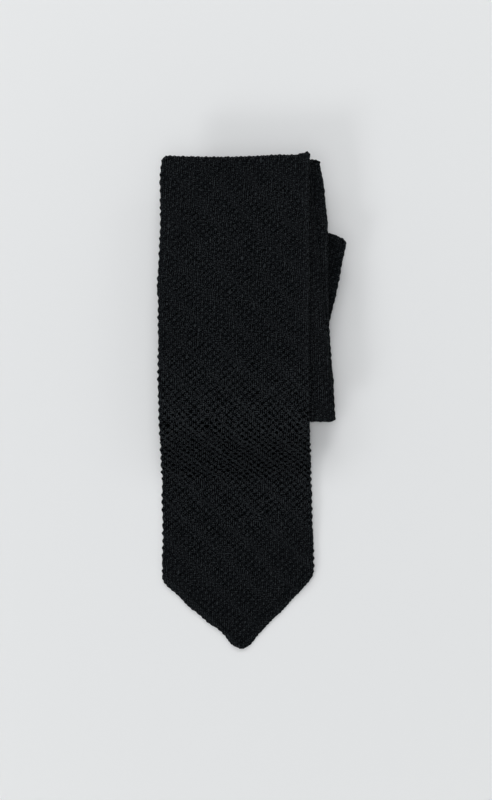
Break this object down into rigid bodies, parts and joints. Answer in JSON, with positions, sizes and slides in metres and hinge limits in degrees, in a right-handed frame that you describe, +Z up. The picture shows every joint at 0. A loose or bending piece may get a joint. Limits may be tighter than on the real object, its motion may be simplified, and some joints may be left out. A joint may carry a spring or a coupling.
{
  "type": "necktie",
  "caption": "Black knitted necktie with a pointed blade, folded to and fro into a flat package with the front blade draped over the end of the stack.",
  "frame": {"origin": "on the flat resting face, under the middle of the stack's bottom layer", "axes": "+Z up out of the resting face, +Y along the blade away from its point, +X to the blade's right seen from above"},
  "size_m": [0.0758, 0.1981, 0.0206],
  "materials": {
    "knit": "matte openwork knit",
    "interlining": "napped weave",
    "seam_thread": "twisted thread",
    "tipping": "satin weave",
    "label": "woven taffeta",
    "loop": "rib knit band"
  },
  "bodies": {
    "front_blade": {"shell_01": "knit", "interlining_01": "interlining", "back_seam_01": "seam_thread", "blade_tipping": "tipping", "blank_label": "label", "care_tab": "label", "blade_bar_tack": "seam_thread", "keeper_loop": "loop", "loop_stitches": "seam_thread"},
    "panel_02": {"shell_02": "knit", "interlining_02": "interlining", "back_seam_02": "seam_thread"},
    "panel_03": {"shell_03": "knit", "interlining_03": "interlining", "back_seam_03": "seam_thread"},
    "panel_04": {"shell_04": "knit", "interlining_04": "interlining", "back_seam_04": "seam_thread"},
    "panel_05": {"shell_05": "knit", "interlining_05": "interlining", "back_seam_05": "seam_thread"},
    "panel_06": {"shell_06": "knit", "interlining_06": "interlining", "back_seam_06": "seam_thread"},
    "panel_07": {"shell_07": "knit", "interlining_07": "interlining", "back_seam_07": "seam_thread"},
    "panel_08": {"shell_08": "knit", "interlining_08": "interlining", "back_seam_08": "seam_thread"},
    "panel_09": {"shell_09": "knit", "interlining_09": "interlining", "back_seam_09": "seam_thread"},
    "panel_10": {"shell_10": "knit", "interlining_10": "interlining", "back_seam_10": "seam_thread"},
    "panel_11": {"shell_11": "knit", "interlining_11": "interlining", "back_seam_11": "seam_thread"},
    "panel_12": {"shell_12": "knit", "interlining_12": "interlining", "back_seam_12": "seam_thread"},
    "tail_end": {"shell_13": "knit", "interlining_13": "interlining", "back_seam_13": "seam_thread", "tail_tipping": "tipping", "tail_bar_tack": "seam_thread"}
  },
  "joints": [
    {"name": "fold_01", "type": "hinge", "parent": "front_blade", "child": "panel_02", "pos_m": [-0.00184, 0.0567, 0.01855], "axis": [0.9998, 0.0209, 0], "range_deg": [0, 177.7]},
    {"name": "fold_02", "type": "hinge", "parent": "panel_02", "child": "panel_03", "pos_m": [0.0094, -0.0491, 0.01645], "axis": [-1, 0, 0], "range_deg": [0, 177.7]},
    {"name": "fold_03", "type": "hinge", "parent": "panel_03", "child": "panel_04", "pos_m": [0.004, 0.0549, 0.01495], "axis": [1, 0, 0], "range_deg": [0, 179]},
    {"name": "fold_04", "type": "hinge", "parent": "panel_04", "child": "panel_05", "pos_m": [0.001, -0.04539, 0.01345], "axis": [-0.9914, 0.1305, 0], "range_deg": [0, 179]},
    {"name": "fold_05", "type": "hinge", "parent": "panel_05", "child": "panel_06", "pos_m": [0.01844, 0.02856, 0.01195], "axis": [0.9744, -0.225, 0], "range_deg": [0, 179]},
    {"name": "fold_06", "type": "hinge", "parent": "panel_06", "child": "panel_07", "pos_m": [0.00163, -0.04619, 0.01045], "axis": [-0.9936, 0.1132, 0], "range_deg": [0, 179]},
    {"name": "fold_07", "type": "hinge", "parent": "panel_07", "child": "panel_08", "pos_m": [0.00079, 0.0535, 0.00895], "axis": [1, 0.007, 0], "range_deg": [0, 178.2]},
    {"name": "fold_08", "type": "hinge", "parent": "panel_08", "child": "panel_09", "pos_m": [0.0002, -0.047, 0.00745], "axis": [-1, 0, 0], "range_deg": [0, 178.2]},
    {"name": "fold_09", "type": "hinge", "parent": "panel_09", "child": "panel_10", "pos_m": [0, 0.0534, 0.00595], "axis": [1, 0, 0], "range_deg": [0, 178.2]},
    {"name": "fold_10", "type": "hinge", "parent": "panel_10", "child": "panel_11", "pos_m": [-0.0004, -0.0466, 0.00445], "axis": [-1, 0, 0], "range_deg": [0, 178.2]},
    {"name": "fold_11", "type": "hinge", "parent": "panel_11", "child": "panel_12", "pos_m": [-0.0002, 0.054, 0.00295], "axis": [1, 0, 0], "range_deg": [0, 178.3]},
    {"name": "fold_12", "type": "hinge", "parent": "panel_12", "child": "tail_end", "pos_m": [0, -0.0474, 0.00145], "axis": [-1, 0, 0], "range_deg": [0, 178.3]}
  ],
  "couplings": [
    {"joint": "fold_02", "follows": "fold_01", "ratio": 1},
    {"joint": "fold_04", "follows": "fold_03", "ratio": 1},
    {"joint": "fold_06", "follows": "fold_05", "ratio": 1},
    {"joint": "fold_08", "follows": "fold_07", "ratio": 1},
    {"joint": "fold_10", "follows": "fold_09", "ratio": 1},
    {"joint": "fold_12", "follows": "fold_11", "ratio": 1}
  ]
}
